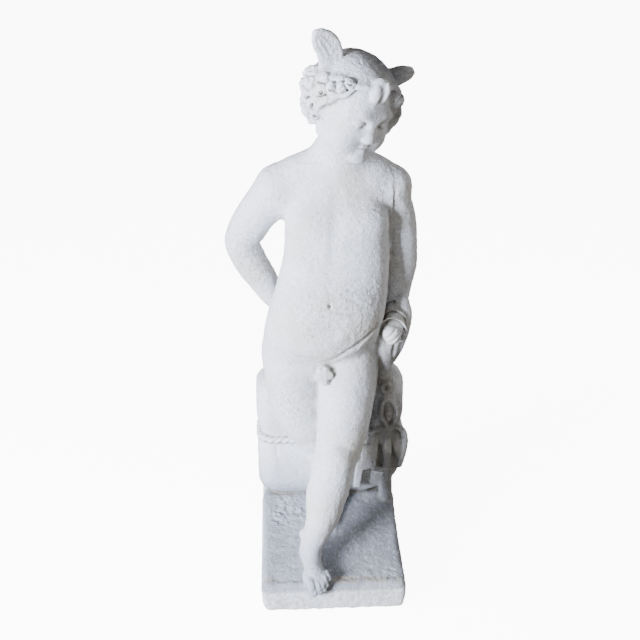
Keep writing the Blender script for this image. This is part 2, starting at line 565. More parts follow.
def all_curls():
    """The typed curls, and four rows round the back: middle = reach * (cos a, sin a) at even angles, each
    lifted or lowered by up to 5 mm."""
    rows = list(CURLS)
    for height, first, count in BACK_ROWS:
        reach = 0.090 * math.cos(1.15 * (height - 0.004) / 0.075)
        for angle in np.radians(np.linspace(first, 180 - first, count)):
            lift = 0.005 * math.sin(57 * angle + 900 * height)
            rows.append((reach * math.cos(angle), 0.014 + 1.02 * reach * math.sin(angle), height + lift, 0.0130))
    return np.array(rows, np.float32)


print(len(all_curls()), "curls")


# %% Wind the curls into the swelling
def nearest_two(places, curls):
    """For each place, the number of its nearest curl, and its distances to the nearest and the next one."""
    first, second = np.full(len(places), FAR, np.float32), np.full(len(places), FAR, np.float32)
    owner = np.zeros(len(places), int)
    for number, curl in enumerate(curls):
        away = np.linalg.norm(places - curl[:3], axis=1)
        second = np.minimum(second, np.maximum(first, away))
        owner = np.where(away < first, number, owner)
        first = np.minimum(first, away)
    return owner, first, second


def curl_height(places):
    """A dome over each curl, a one-armed spiral cos(2 pi reach / pitch - angle) on it, a valley half way to
    the next curl, and a slot bent like a comma along part of a ring round its middle."""
    curls = all_curls()
    warp = np.stack([lattice_noise(places, 0.009, seed) for seed in (21, 22, 23)], axis=1)
    places = places + 0.0013 * warp
    owner, first, second = nearest_two(places, curls)
    out = curls[:, :3] - HAIR_MIDDLE
    out /= np.linalg.norm(out, axis=1)[:, None]
    right = np.cross((0, 0, 1), out)
    right /= np.linalg.norm(right, axis=1)[:, None]
    up = np.cross(out, right)
    away = places - curls[owner, :3]
    size = 1.25 * curls[owner, 3]
    across, along = (away * right[owner]).sum(axis=1), (away * up[owner]).sum(axis=1)
    reach = np.hypot(across, along)
    hand = np.where(owner % 3 == 0, -1, 1)
    angle = hand * np.arctan2(along, across) + 2.4 * owner
    dome = 0.0052 * (1 - np.clip(reach / (1.1 * size), 0, 1) ** 2) - 0.0012
    wave = np.cos(2 * np.pi * reach / (0.62 * size) - angle)
    spiral = 0.0008 * wave * smooth_step(reach, 0.10 * size, 0.40 * size)
    valley = 0.0026 * (1 - smooth_step(second - first, 0.0005, 0.0045))
    lean = -0.5 + 0.7 * np.sin(2.4 * owner)
    turned = np.arctan2(along, across) - lean
    off = np.arctan2(np.sin(turned), np.cos(turned))
    slot = 1 - smooth_step(np.abs(reach / size - 0.42 - 0.05 * off), 0.03, 0.17)
    slot *= 1 - smooth_step(np.abs(off), 0.5, 1.1)
    slotted = np.isin(owner % 7, (0, 2, 4, 5))
    edge = 1 - smooth_step(first / size, 1.05, 1.45)
    worn = np.where((places[:, 0] > 0) & (places[:, 1] < 0.03), 0.6, 1)
    return edge * worn * (dome + spiral - valley - 0.0068 * slot * slotted)


def model_hair(clay):
    """The swelling, as balls with wide fillets, and then the curls as a height added to it."""
    for middle, radii in HAIR_MASSES:
        head_ball(clay, middle, radii, 0.008)
    head_limb(clay, HAIRLINE, 0.004)
    add_height(clay, HEAD, 0.125, lambda places: curl_height((places - HEAD) @ HEAD_TURN))


# %% The rolled lock over the brow, and the ears
FORELOCK_SLITS = [
    ([(0.0118, -0.0765, 0.0460, 0.0008), (0.0114, -0.0780, 0.0385, 0.0016),
      (0.0110, -0.0780, 0.0300, 0.0011)], 0.0016),
    ([(0.0290, -0.0740, 0.0500, 0.0008), (0.0265, -0.0790, 0.0400, 0.0010),
      (0.0240, -0.0770, 0.0300, 0.0008)], 0.0014),
]
print(len(FORELOCK_SLITS), "slits beside the rolled lock")


def model_forelock(clay):
    """Two fat upright rolls side by side on a low mound over the brow, with a slit beside each."""
    head_ball(clay, (0.0125, -0.0580, 0.0440), (0.0200, 0.0120, 0.0200), 0.006)
    head_ball(clay, (0.0205, -0.0640, 0.0400), (0.0098, 0.0110, 0.0195), 0.0040)
    head_ball(clay, (0.0025, -0.0660, 0.0345), (0.0120, 0.0110, 0.0170), 0.0050)
    for rows, ease in FORELOCK_SLITS:
        head_limb(clay, rows, ease, True)


def model_ears(clay):
    """The lower half of an ear: a rolled rim round a shallow shell, with its lobe."""
    for side in (-1, 1):
        rim = []
        for angle in np.linspace(-2.4, 2.4, 8):
            rim.append((side * 0.065, 0.006 + 0.011 * math.cos(angle), -0.046 + 0.016 * math.sin(angle), 0.0036))
        head_limb(clay, rim, 0.002, steps=3)
        head_ball(clay, (side * 0.060, 0.006, -0.047), (0.006, 0.009, 0.013), 0.003)


# %% [markdown]
# ## Cap and wings
#
# The cap is a bowl that fits the skull, cut off by a slanting plane, with a rolled rim. The wings on it are
# short and thick, because thin stone breaks. A sheet that is given a thickness would have sharp edges. So
# each is a flat oval carried along a bent line, with a raised edge and a few grooves for its feathers.

# %% Press the cap and its two wings
CAP_RADII = np.array((0.0745, 0.0845, 0.0685))
CAP_MIDDLE = np.array((0.0, 0.010, 0.010))
LEFT_WING = [(-0.058, 0.05, 0.0225), (-0.071, 0.075, 0.024), (-0.087, 0.0893, 0.0213), (-0.101, 0.099, 0.0105)]
RIGHT_WING = [(0.060, 0.034, 0.0205), (0.079, 0.043, 0.0195), (0.094, 0.050, 0.0150), (0.103, 0.054, 0.0080)]
WING_THICKNESS, WING_DEPTH = 0.0065, 0.010
WING_EDGE = (0.80, 0.0036, 0.0016)
WING_GROOVES = [(0.35, 0.0011, 0.0086), (-0.10, 0.0011, 0.0086), (-0.52, 0.0011, 0.0086)]
print("cap, mm wide and deep:", [round(2000 * radius) for radius in CAP_RADII[:2]])


def rim_height(x, y):
    """The slanting plane of the rim: it rises towards the brow and a little to one side."""
    return 0.032 + 0.06 * x - 0.15 * y


def model_cap(clay):
    """The cap's ellipsoid, kept where it lies above the rim's plane, and a low limb all round that plane."""
    press_bowl(clay, CAP_MIDDLE, CAP_RADII, lambda x, y, z: rim_height(x, y) - z, 0.004)
    around = np.linspace(0, 2 * np.pi, 49)
    x, y = CAP_RADII[0] * np.cos(around), CAP_MIDDLE[1] + CAP_RADII[1] * np.sin(around)
    base = np.arcsin((rim_height(x, y) - CAP_MIDDLE[2]) / CAP_RADII[2])
    x, y = x * np.cos(base), CAP_MIDDLE[1] + (y - CAP_MIDDLE[1]) * np.cos(base)
    rim = np.stack([0.98 * x, 0.98 * y, rim_height(x, y) + 0.003, np.full_like(x, 0.0030)], axis=1)
    head_limb(clay, rim, 0.012, steps=1)


def press_wing(clay, stations):
    """A flat oval along a line in the head's x-z plane: rows of x, z and half width.

    Distances across the oval are divided by its half width or half thickness, as for an ellipse.
    """
    path = smooth_path(stations, 6)

    def distance(x, y, z):
        own = own_places(x, y, z, HEAD, HEAD_TURN)
        near = FAR
        for a, b in zip(path, path[1:]):
            run = b - a
            along = ((own[0] - a[0]) * run[0] + (own[2] - a[1]) * run[1]) / (run[:2] @ run[:2])
            along = np.clip(along, 0, 1)
            off_x, off_z = own[0] - a[0] - along * run[0], own[2] - a[1] - along * run[1]
            wide = np.hypot(off_x, off_z) / (a[2] + along * run[2])
            ratio = np.sqrt(wide ** 4 + ((own[1] - WING_DEPTH) / WING_THICKNESS) ** 2)
            near = np.minimum(near, (np.sqrt(ratio) - 1) * 1.4 * WING_THICKNESS)
        return near

    middle = in_head((path[:, 0].mean(), WING_DEPTH, path[:, 1].mean()))[0]
    press(clay, np.array(middle) - 0.055, np.array(middle) + 0.055, distance, 0.004)


def model_wings(clay):
    """Each wing is a thick leaf with a raised edge and three grooves that fan from its root."""
    for stations, side in ((LEFT_WING, 1), (RIGHT_WING, -1)):
        press_wing(clay, stations)
        path = smooth_path(stations, 4)
        heads = np.gradient(path[:, :2], axis=0)
        heads /= np.linalg.norm(heads, axis=1)[:, None]
        normal = np.stack([heads[:, 1], -heads[:, 0]], axis=1)
        for number, (share, radius, off) in enumerate([WING_EDGE, *WING_GROOVES]):
            place = path[:, :2] + share * side * path[:, 2:] * normal
            for depth in (WING_DEPTH - off, WING_DEPTH + off):
                fill = np.ones(len(place))
                rows = np.stack([place[:, 0], depth * fill, place[:, 1], radius * fill], axis=1)
                head_limb(clay, rows[3:] if number else rows, 0.004, number > 0, 1)


# %% [markdown]
# ## Cloth and staff
#
# The cloth is wound three times round the forearm, and each turn flares like a cuff. Three rings would do for
# that from afar, but a cuff is hollow inside its rim, so each is a trumpet with a cone taken out of it.
# The staff is upside down: the rod passes through the fist, two snakes knot round it lower down, and small
# wings spread beside its foot. On a casting none of it is free, so a web of stone joins it to the bale.

# %% Press the cloth
CUFFS = [(0.010, 0.0290), (0.032, 0.0295), (0.060, 0.0310)]
print("the rims of the", len(CUFFS), "cuffs, mm wide:", [round(2000 * rim) for _, rim in CUFFS])


def cuff_distance(x, y, z):
    """Three trumpets along the forearm, each flaring towards the fist and hollow inside its rim.

    A place is measured by its distance d along the forearm's line and r from it. Outside, the radius is
    rim - 7 mm * (1 - exp(-(d - place) / 10 mm)); inside, a cone narrows from the rim by 0.9 mm a millimetre.
    """
    x, y, z = x - FIST[0], y - FIST[1], z - FIST[2]
    along = x * FOREARM[0] + y * FOREARM[1] + z * FOREARM[2]
    side = (x * FOREARM[1] - y * FOREARM[0]) / math.hypot(FOREARM[0], FOREARM[1])
    lift = np.sqrt(np.maximum(x ** 2 + y ** 2 + z ** 2 - along ** 2 - side ** 2, 0))
    out = np.hypot(side / 0.96, lift / 1.20)
    near = FAR
    for place, rim in CUFFS:
        back = along - place
        outer = 0.85 * (out - rim + 0.0070 * (1 - np.exp(-np.maximum(back, 0) / 0.010)))
        outer = np.maximum(outer, np.maximum(-back, back - 0.032))
        hollow = np.maximum(0.75 * (out - rim + 0.0022 + 0.9 * back), back - 0.009)
        near = np.minimum(near, np.maximum(outer, -hollow))
    return near


FOREARM_IN_CLOTH = [(0.144, 0.072, 0.556, 0.0240), (*(FIST + 0.060 * FOREARM), 0.0225),
                    (*(FIST + 0.012 * FOREARM), 0.0190)]
CLOTH_END = [(0.150, 0.040, 0.540, 0.0140), (0.154, 0.032, 0.515, 0.0145), (0.150, 0.030, 0.482, 0.0130),
             (0.140, 0.036, 0.445, 0.0105), (0.126, 0.040, 0.415, 0.0080)]
CLOTH_FOLD = [(0.1515, 0.005, 0.491, 0.0036), (0.151, 0.008, 0.481, 0.0048), (0.148, 0.015, 0.47, 0.0036)]
CLOTH_WEB = [(0.138, 0.016, 0.490, 0.0100), (0.134, 0.024, 0.455, 0.0090), (0.126, 0.032, 0.420, 0.0070)]


def model_cloth(clay):
    """The three cuffs, and the end of the cloth that hangs behind the fist with a small fold on it."""
    press_limb(clay, FOREARM_IN_CLOTH, 0.006)
    press(clay, FIST - 0.045, FIST + (0.055, 0.105, 0.085), cuff_distance, 0.0012)
    press_limb(clay, CLOTH_END, 0.004)
    press_limb(clay, CLOTH_FOLD, 0.003)
    press_limb(clay, CLOTH_WEB, 0.004)


# %% Press the staff
ROD = [(0.122, 0.004, 0.485, 0.0084), (0.1205, 0.021, 0.440, 0.0082), (0.1190, 0.026, 0.375, 0.0068),
       (0.1220, 0.026, 0.320, 0.0062), (0.1202, 0.034, 0.270, 0.0084), (0.1197, 0.038, 0.189, 0.0092),
       (0.1200, 0.040, 0.112, 0.0104)]
EYE = ((0.1160, 0.0165, 0.3700), 0.0080)
SNAKES = [
    [(0.1185, 0.014, 0.3540), (0.1170, 0.013, 0.3480), (0.1100, 0.015, 0.3379), (0.1078, 0.017, 0.3242),
     (0.1083, 0.019, 0.3082), (0.1135, 0.020, 0.2940), (0.1215, 0.021, 0.2830)],
    [(0.1140, 0.015, 0.3540), (0.1190, 0.014, 0.3470), (0.1288, 0.016, 0.3395), (0.1359, 0.018, 0.3255),
     (0.1365, 0.020, 0.3072), (0.1310, 0.020, 0.2912), (0.1215, 0.022, 0.2800)],
]
SNAKE = 0.0050
FEATHERS = [((0.0950, 0.264), (0.0892, 0.187), 0.0092), ((0.1202, 0.264), (0.1197, 0.186), 0.0086),
            ((0.0752, 0.240), (0.0745, 0.185), 0.0080), ((0.0660, 0.206), (0.0580, 0.145), 0.0082)]
LOOP = [(0.1250, 0.030, 0.2790, 0.0062), (0.1392, 0.030, 0.2796, 0.0070), (0.1525, 0.032, 0.2660, 0.0076),
        (0.1545, 0.034, 0.2420, 0.0080), (0.1510, 0.035, 0.2150, 0.0078), (0.1441, 0.036, 0.1917, 0.0066)]
WEB_BEHIND = [(0.118, 0.052, 0.106, 0.0140), (0.119, 0.054, 0.200, 0.0140), (0.120, 0.046, 0.270, 0.0190),
              (0.120, 0.040, 0.320, 0.0190), (0.116, 0.034, 0.370, 0.0170), (0.112, 0.026, 0.420, 0.0150),
              (0.110, 0.018, 0.470, 0.0140), (0.108, 0.016, 0.500, 0.0140)]
WEB_BESIDE = [(0.104, 0.046, 0.250, 0.0130), (0.100, 0.042, 0.320, 0.0110), (0.100, 0.034, 0.390, 0.0105),
              (0.099, 0.020, 0.445, 0.0095)]
WEB_OF_FEATHERS = [(0.086, 0.052, 0.25, 0.013), (0.078, 0.054, 0.2, 0.013), (0.068, 0.056, 0.155, 0.011)]
CROSSBAR = [(0.0912, 0.036, 0.1873, 0.0060), (0.1115, 0.036, 0.1821, 0.0064), (0.1318, 0.036, 0.1859, 0.0060)]
WING_TOP = [(0.0800, 0.042, 0.2480, 0.0058), (0.0880, 0.036, 0.2660, 0.0064), (0.0991, 0.034, 0.2734, 0.0066),
            (0.1152, 0.032, 0.2783, 0.0068)]
FOOT_CRACK = [(0.106, 0.034, 0.118, 0.0012), (0.120, 0.028, 0.114, 0.0018), (0.132, 0.034, 0.117, 0.0012)]
KNOT, LOOP_WEB = np.array((0.1210, 0.026, 0.281)), np.array((0.142, 0.042, 0.236))
FEATHER_FRONT, FEATHER_DEPTH, FEATHER_HALF_DEPTH = 0.0275, 0.037, 0.0085
print("staff, mm high:", round(1000 * (ROD[0][2] - ROD[-1][2])))


def press_plank(clay, top, bottom, half_width, depth, half_depth):
    """A flat feather: a box with round edges that leans in the x-z plane from its top to its bottom."""
    run = np.array(bottom) - np.array(top)
    length = np.hypot(*run)
    right = np.array((-run[1], run[0])) / length
    middle = (np.array(top) + np.array(bottom)) / 2
    edge = 0.0036

    def distance(x, y, z):
        x, z = x - middle[0], z - middle[1]
        across = np.abs(x * right[0] + z * right[1]) - half_width + edge
        along = np.abs(x * run[0] + z * run[1]) / length - length / 2 + edge
        deep = np.abs(y - depth) - half_depth + edge
        outside = np.sqrt(np.maximum(across, 0) ** 2 + np.maximum(along, 0) ** 2 + np.maximum(deep, 0) ** 2)
        return outside + np.minimum(np.maximum(np.maximum(across, along), deep), 0) - edge

    reach = length / 2 + half_width
    low = np.array((middle[0] - reach, depth - half_depth, middle[1] - reach))
    high = np.array((middle[0] + reach, depth + half_depth, middle[1] + reach))
    press(clay, low, high, distance, 0.0015)


def model_staff(clay):
    """The web behind, then rod, snakes, knot and wings on it."""
    for web in (WEB_BEHIND, WEB_BESIDE, WEB_OF_FEATHERS):
        press_limb(clay, web, 0.006)
    press_limb(clay, ROD, 0.003)
    (x, y, z), reach = EYE
    around = np.linspace(0, 2 * np.pi, 13)
    ring = [(x + 0.9 * reach * math.cos(a), y, z + 1.2 * reach * math.sin(a), 0.0046) for a in around]
    press_limb(clay, ring, 0.002, steps=2)
    for path in SNAKES:
        press_limb(clay, [(*point, SNAKE) for point in path], 0.0010)
    press_ball(clay, KNOT, (0.0120, 0.0110, 0.0085), None, 0.002)
    for top, bottom, half_width in FEATHERS:
        press_plank(clay, top, bottom, half_width, FEATHER_DEPTH, FEATHER_HALF_DEPTH)
        rib = [(top[0], FEATHER_FRONT, top[1] - 0.006, 0.0006),
               (bottom[0], FEATHER_FRONT, bottom[1] + 0.006, 0.0006)]
        press_limb(clay, rib, 0.0016, True)
    press_limb(clay, LOOP, 0.0015)
    press_ball(clay, LOOP_WEB, (0.012, 0.010, 0.040), turning(y=-6), 0.003)
    press_limb(clay, CROSSBAR, 0.002)
    press_limb(clay, WING_TOP, 0.003)
    press_limb(clay, FOOT_CRACK, 0.0012, True)


# %% [markdown]
# ## Bale, rope, ground and plinth
#
# The seat is a soft bale, pinched by a rope. A stack of ovals of a high power is nearly an oblong with
# round corners, and its width dips by a bell curve at the rope. The rope is two strands wound round each
# other: each follows the bale's outline and turns about it once every 30 mm. A groove pattern on a single
# strand would be cheaper, but it would vanish at the outline, where the real rope shows its lumps.

# %% Press the bale and its rope
PLINTH_HALF = np.array((0.135, 0.185))
PLINTH_TOP, GROUND_TOP = 0.055, 0.120
RISE_START, RISE_END = -0.165, 0.060
BALE_MIDDLE, BALE_HALF = np.array((0.007, 0.114)), np.array((0.149, 0.069))
BALE_FOOT, BALE_TOP = 0.114, 0.374
BALE_CORNER, LEFT_FOOT_ROUNDING, RIGHT_FOOT_ROUNDING = 0.034, 0.046, 0.095
ROPE_HEIGHT, ROPE_STRAND, ROPE_LAY = 0.2485, 0.0043, 0.030
BALE_CREASES = [(-0.118, -0.004, 0.030), (-0.092, 0.003, 0.022), (-0.104, 0.002, -0.026),
                (0.060, -0.003, 0.024), (0.085, 0.004, -0.028)]
BALE_SHOULDER = np.array((0.124, 0.114, 0.352))
print("bale, mm wide, deep and high:", [round(1000 * size) for size in (*2 * BALE_HALF, BALE_TOP - BALE_FOOT)])


def bale_inset(z, rounding):
    """How far the sides stand in: a bell curve at the rope, wider above it, and a quarter circle at each end."""
    pinch = 0.008 * np.exp(-((z - ROPE_HEIGHT) / np.where(z > ROPE_HEIGHT, 0.030, 0.013)) ** 2)
    top = np.clip(1 - (BALE_TOP - z) / BALE_CORNER, 0, 1)
    foot = np.clip(1 - (z - BALE_FOOT) / rounding, 0, 1)
    return pinch + BALE_CORNER * (1 - np.sqrt(1 - top ** 2)) + rounding * (1 - np.sqrt(1 - foot ** 2))


def model_bale(clay):
    """An oblong with round corners at every height, a fuller corner at the top, and creases at the rope."""
    def distance(x, y, z):
        inset = np.where(x > BALE_MIDDLE[0], bale_inset(z, RIGHT_FOOT_ROUNDING),
                         bale_inset(z, LEFT_FOOT_ROUNDING))
        across = np.abs(x - BALE_MIDDLE[0]) - (BALE_HALF[0] - inset) + BALE_CORNER
        along = np.abs(y - BALE_MIDDLE[1]) - (BALE_HALF[1] - bale_inset(z, LEFT_FOOT_ROUNDING)) + BALE_CORNER
        side = np.hypot(np.maximum(across, 0), np.maximum(along, 0)) + np.minimum(np.maximum(across, along), 0)
        return np.maximum(side - BALE_CORNER, np.maximum(BALE_FOOT - z, z - BALE_TOP))

    low = np.array((*(BALE_MIDDLE - BALE_HALF), BALE_FOOT))
    high = np.array((*(BALE_MIDDLE + BALE_HALF), BALE_TOP))
    press(clay, low, high, distance, 0.010)
    press_ball(clay, BALE_SHOULDER, (0.032, 0.055, 0.032), None, 0.014)
    front = BALE_MIDDLE[1] - BALE_HALF[1]
    for place, lean, length in BALE_CREASES:
        start = ROPE_HEIGHT + math.copysign(0.010, length)
        rows = [(place, front + 0.002, start, 0.0026), (place + lean, front - 0.003, start + length, 0.0010)]
        press_limb(clay, rows, 0.006, True)


def oblong(half, corner, count):
    """Points round an oblong with round corners, from four quarter circles."""
    rows = []
    for quarter, (sign_x, sign_y) in enumerate(((1, 1), (-1, 1), (-1, -1), (1, -1))):
        angle = np.linspace(quarter, quarter + 1, count) * np.pi / 2
        rows.append(np.stack([sign_x * (half[0] - corner) + corner * np.cos(angle),
                              sign_y * (half[1] - corner) + corner * np.sin(angle)], axis=1))
    return np.vstack(rows + [rows[0][:1]])


def model_rope(clay):
    """Two strands: out = r cos(turn), up = r sin(turn), with half a turn between them."""
    path = BALE_MIDDLE + oblong(BALE_HALF - 0.0048, BALE_CORNER, 12)
    length = np.concatenate([[0], np.cumsum(np.linalg.norm(np.diff(path, axis=0), axis=1))])
    turns = round(length[-1] / ROPE_LAY)
    along = np.linspace(0, length[-1], 8 * turns + 1)
    x, y = np.interp(along, length, path[:, 0]), np.interp(along, length, path[:, 1])
    heads = np.stack([np.gradient(x), np.gradient(y)], axis=1)
    heads /= np.linalg.norm(heads, axis=1)[:, None]
    for strand in (0, np.pi):
        twist = 2 * np.pi * turns * along / length[-1] + strand
        out, lift = 0.8 * ROPE_STRAND * np.cos(twist), 0.8 * ROPE_STRAND * np.sin(twist)
        rows = np.stack([x + out * heads[:, 1], y - out * heads[:, 0], ROPE_HEIGHT + lift,
                         np.full_like(along, ROPE_STRAND)], axis=1)
        press_limb(clay, rows, 0.0008, steps=1)


# %% Press the plinth
def ground_height(y):
    """Level at the front edge, then a straight rise to the bale."""
    return PLINTH_TOP + (GROUND_TOP - PLINTH_TOP) * np.clip((y - RISE_START) / (RISE_END - RISE_START), 0, 1)


print("the ground rises by", round(1000 * (GROUND_TOP - PLINTH_TOP)), "mm")


def model_plinth(clay):
    """An oblong block under the slope of the ground. Its sides swell by 4 mm half way up, as hand work does,
    draw in at the foot, and its worn edges are wide fillets."""
    def distance(x, y, z):
        swell = 0.004 * np.sin(np.pi * np.clip(z / 0.075, 0, 1)) - 0.003 * (1 - np.clip(z / 0.018, 0, 1)) ** 2
        ends = -soft_union(PLINTH_HALF[0] + swell - np.abs(x), PLINTH_HALF[1] - np.abs(y), 0.012)
        top = -soft_union(-(z - ground_height(y)) * 0.96, -ends, 0.013)
        return np.maximum(top, -z)

    low, high = np.array((*-PLINTH_HALF, 0)) - 0.004, np.array((*PLINTH_HALF, GROUND_TOP)) + 0.004
    press(clay, low, high, distance, 0.006)


# %% [markdown]
# ## Leaf
#
# A carved vine leaf lies at the groin, as on many garden casts. A flat sheet bent over the form would look
# like paper. This one is a thick lobed plate on a small ball, so it swells out of the stone.

# %% Press the leaf
LEAF_MIDDLE, LEAF_SIZE = np.array((-0.009, -0.0440, 0.4290)), 0.0195
print("leaf, mm across:", round(2000 * LEAF_SIZE))


def model_leaf(clay):
    """A thick leaf of five lobes: reach = size * (0.70 + 0.30 * |cos(2.5 t)|) at the angle t from its tip, a
    third longer at the tip, domed towards the front, with ribs cut down three of the lobes."""
    middle, turn, size = LEAF_MIDDLE, turning(x=-10, y=-6), LEAF_SIZE

    def distance(x, y, z):
        across, deep, up = own_places(x, y, z, middle, turn)
        away, angle = np.hypot(across, up), np.arctan2(across, -up)
        edge = size * (0.70 + 0.30 * np.abs(np.cos(2.5 * angle))) * (0.95 + 0.32 * np.cos(angle))
        thick = 0.0030 + 0.0036 * (1 - np.clip(away / edge, 0, 1) ** 2)
        return np.maximum((away - edge) * 0.7, np.abs(deep) - thick)

    press_ball(clay, middle + (0, 0.010, -0.003), (0.0150, 0.0130, 0.0160), None, 0.006)
    press(clay, middle - size * 1.4, middle + size * 1.4, distance, 0.0020)
    for angle in np.radians((0, 72, -72)):
        tip = 0.85 * size * np.array((np.sin(angle), 0, -np.cos(angle)))
        rib = []
        for share in (0.0, 0.5, 1):
            rib.append((*(middle + turn @ (share * tip + (0, -0.0064 + 0.0030 * share ** 2, 0))), 0.0013))
        press_limb(clay, rib, 0.0018, True)


# %% [markdown]
# ## The whole figure
#
# The order matters. Masses come first, with wide fillets, and fine forms last, with narrow ones, so that
# a curl isn't drowned in the fillet of the next mass.

# %% Model everything in one block of clay
def model_statue(clay):
    """Masses, then carving."""
    model_trunk(clay)
    model_legs(clay)
    model_arms(clay)
    model_head(clay)
    line_the_trunk(clay)
    model_bale(clay)
    model_plinth(clay)
    model_rope(clay)
    model_toes(clay)
    model_leaf(clay)
    model_face(clay)
    model_ears(clay)
    model_cap(clay)
    model_hair(clay)
    model_forelock(clay)
    model_wings(clay)
    model_cloth(clay)
    model_fist(clay)
    model_staff(clay)


# %% [markdown]
# ## From clay to a skin
#
# Surface nets turn the field into a mesh: a point goes into every cube that the surface passes through, at
# the mean of its crossings with the cube's edges, and four neighbouring points make a face. Then each
# point is slid along the slope of the field until its own distance is nought, which takes out the steps.

# %% Read the field anywhere, and find its surface
def read_field(clay, points):
    """The field between grid corners, mixed from the eight corners of the cube that a point lies in."""
    spot = (points - clay["low"]) / clay["cell"]
    corner = np.clip(np.floor(spot).astype(int), 0, np.array(clay["field"].shape) - 2)
    share = spot - corner
    value = np.zeros(len(points))
    for offset in np.ndindex(2, 2, 2):
        weight = np.prod(np.where(offset, share, 1 - share), axis=1)
        value += weight * clay["field"][tuple((corner + offset).T)]
    return value


def slope(clay, points):
    """The direction in which the distance grows, from differences half a cell to each side."""
    half = 0.5 * clay["cell"]
    rise = np.stack([read_field(clay, points + step) - read_field(clay, points - step)
                     for step in half * np.eye(3)], axis=1)
    return rise / np.maximum(np.linalg.norm(rise, axis=1), 1e-9)[:, None]


def crossing_points(clay, cells):
    """The mean of the places where the field changes sign along the twelve edges of each cube."""
    corners = np.array(list(np.ndindex(2, 2, 2)))
    values = np.stack([clay["field"][tuple((cells + corner).T)] for corner in corners], axis=1)
    total, count = np.zeros((len(cells), 3)), np.zeros(len(cells))
    for i, j in ((a, b) for a in range(8) for b in range(a + 1, 8)):
        if np.abs(corners[i] - corners[j]).sum() == 1:
            crossed = (values[:, i] < 0) != (values[:, j] < 0)
            share = np.where(crossed, values[:, i] / np.where(crossed, values[:, i] - values[:, j], 1), 0)
            total += (corners[i] + share[:, None] * (corners[j] - corners[i])) * crossed[:, None]
            count += crossed
    return clay["low"] + clay["cell"] * (cells + total / count[:, None])


def surface_nets(clay):
    """Points in the cubes that the surface crosses, and a face round each grid edge that it crosses."""
    inside = clay["field"] < 0
    inside[[0, -1]] = inside[:, [0, -1]] = inside[:, :, [0, -1]] = False
    clay["field"][~inside] = np.maximum(clay["field"][~inside], 1e-6)
    filled = sum(inside[i:i - 1 or None, j:j - 1 or None, k:k - 1 or None].astype(np.int8)
                 for i, j, k in np.ndindex(2, 2, 2))
    crossed = (filled > 0) & (filled < 8)
    number = np.full(crossed.shape, -1)
    number[crossed] = np.arange(crossed.sum())
    points = crossing_points(clay, np.argwhere(crossed))
    faces = []
    for axis in range(3):
        near, far = np.moveaxis(inside, axis, 0)[:-1], np.moveaxis(inside, axis, 0)[1:]
        edge = np.argwhere(np.moveaxis(near != far, 0, axis))
        outward = np.moveaxis(near, 0, axis)[tuple(edge.T)]
        u, v = np.eye(3, dtype=int)[(axis + 1) % 3], np.eye(3, dtype=int)[(axis + 2) % 3]
        face = np.stack([number[tuple((edge - shift).T)] for shift in (u + v, v, 0 * u, u)], axis=1)
        face[~outward] = face[~outward][:, ::-1]
        faces.append(face)
    return points, np.concatenate(faces)


def settle(clay, points):
    """Slide points onto the surface: step by minus the distance along the slope, three times."""
    limit = 0.6 * clay["cell"]
    for _ in range(3):
        points = points - np.clip(read_field(clay, points), -limit, limit)[:, None] * slope(clay, points)
    return points


# %% [markdown]
# ## Relief
#
# Cast stone isn't smooth. The mould takes the drag marks of the modelling tool, air leaves pits of one to
# three millimetres, and the paint is brushed on up and down. What is larger than two millimetres is pushed
# into the mesh here, along each point's normal; what is finer is left to the paint's bump.

# %% The height of the relief
def near_spot(points, middle, radius):
    """1 at the middle of a round patch, falling smoothly to 0 at its radius."""
    return 1 - smooth_step(np.linalg.norm(points - middle, axis=1), 0.45 * radius, radius)


PEBBLED = [((0.060, -0.045, 0.560), 0.085), ((-0.070, -0.020, 0.360), 0.070), ((-0.140, 0.075, 0.640), 0.110),
           ((0.110, -0.185, 0.030), 0.110), ((-0.090, -0.185, 0.030), 0.090), ((0.060, 0.010, 0.720), 0.060)]
BROKEN_GROUND, BROKEN_REACH = np.array((-0.082, 0.012, 0.108)), 0.060
print(len(PEBBLED), "pebbled patches")


def relief(points):
    """Height in metres: broad unevenness, drag marks, pits, pebbled patches, and the broken ground."""
    upright = points * (1, 1, 0.14)
    height = 0.00050 * lattice_noise(points, 0.022, 1) + 0.00042 * lattice_noise(points, 0.0085, 2)
    height += 0.00048 * lattice_noise(points, 0.0056, 9) + 0.00014 * lattice_noise(upright, 0.0042, 3)
    height -= 0.00070 * smooth_step(lattice_noise(points, 0.0046, 4), 0.58, 0.85)
    for middle, radius in PEBBLED:
        height += 0.00050 * near_spot(points, middle, radius) * lattice_noise(points, 0.0050, 10)
    clear = points[:, 2] - ground_height(points[:, 1])
    on_ground = (1 - smooth_step(np.abs(clear), 0.004, 0.014)) * (points[:, 2] > 0.05)
    rough = 0.0010 * lattice_noise(points, 0.024, 5) + 0.0004 * lattice_noise(points, 0.0080, 6)
    broken = near_spot(points, BROKEN_GROUND, BROKEN_REACH)
    chips = broken * (0.0024 * lattice_noise(points, 0.0085, 7) + 0.0014 * lattice_noise(points, 0.0048, 8))
    smooth_face = 1 - 0.65 * near_spot(points, HEAD + FACE_TURN @ np.array((0, -0.060, -0.040)), 0.070)
    return height * smooth_face + on_ground * (rough + chips) - 0.0007


# %% [markdown]
# ## One skin in four pieces
#
# A single mesh fine enough for the curls would be far too large, so the skin is made in four pieces, each
# on a grid that suits it. All four come from the same field. Past its own seam a piece sinks under its
# neighbour by the cube of the distance, which starts so flat that the seam can't be seen.

# %% Where each piece ends
NECK_SEAM = np.array((0.034, 0.030, 0.838))
NECK_AXIS = np.array((0.20, -0.30, 0.93)) / np.linalg.norm((0.20, -0.30, 0.93))
SEAM_EASE, SEAM_DEPTH = 0.010, 0.003


def beyond_head(x, y, z):
    """Distance below the plane across the neck."""
    return -sum((place - NECK_SEAM[i]) * NECK_AXIS[i] for i, place in enumerate((x, y, z)))


